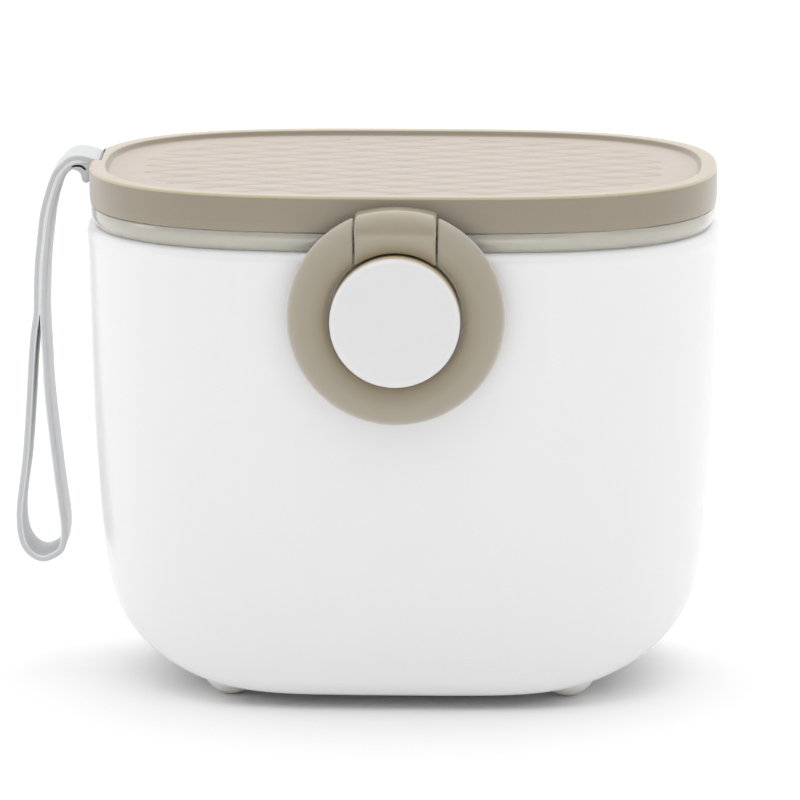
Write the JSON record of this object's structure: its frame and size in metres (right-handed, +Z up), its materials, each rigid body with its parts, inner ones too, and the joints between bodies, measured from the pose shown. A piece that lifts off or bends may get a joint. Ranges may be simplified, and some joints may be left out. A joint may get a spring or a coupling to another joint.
{
  "type": "formula container",
  "caption": "Oval shut tub for milk powder, with a clear neck, a lid with a raised rim and a lattice on top, a hinged ring clasp round a front button, and a flat wrist strap.",
  "frame": {"origin": "centre of the tub's flat underside; the feet reach 2.8 mm below it", "axes": "+Z up, -Y towards the front with the clasp, +X to the right seen from the front, so the wrist strap hangs on the -X side"},
  "size_m": [0.1491, 0.1017, 0.1097],
  "materials": {
    "white_plastic": "satin white polypropylene",
    "foot_plastic": "soft white pads, slightly creamier than the tub",
    "clear_plastic": "clear glossy neck of the inner tub",
    "stopper_plastic": "grey-beige, seen through the clear neck",
    "lid_plastic": "fine-textured beige",
    "hinge_plastic": "smooth beige with a soft sheen",
    "clasp_plastic": "soft-touch darker beige",
    "pin_metal": "plain drawn wire",
    "strap_silicone": "light grey satin silicone"
  },
  "bodies": {
    "container": {"tub": "white_plastic", "foot_front_left": "foot_plastic", "foot_front_right": "foot_plastic", "foot_back_left": "foot_plastic", "foot_back_right": "foot_plastic", "neck_ring": "clear_plastic", "stopper": "stopper_plastic", "lid": "lid_plastic", "hinge_block": "hinge_plastic", "hinge_pin": "pin_metal", "button": "white_plastic", "strap": "strap_silicone"},
    "clasp": {"clasp_ring": "clasp_plastic"}
  },
  "joints": [
    {"name": "clasp_swing", "type": "hinge", "parent": "container", "child": "clasp", "pos_m": [0, -0.0499, 0.099], "axis": [-1, 0, 0], "range_deg": [0, 110]}
  ]
}
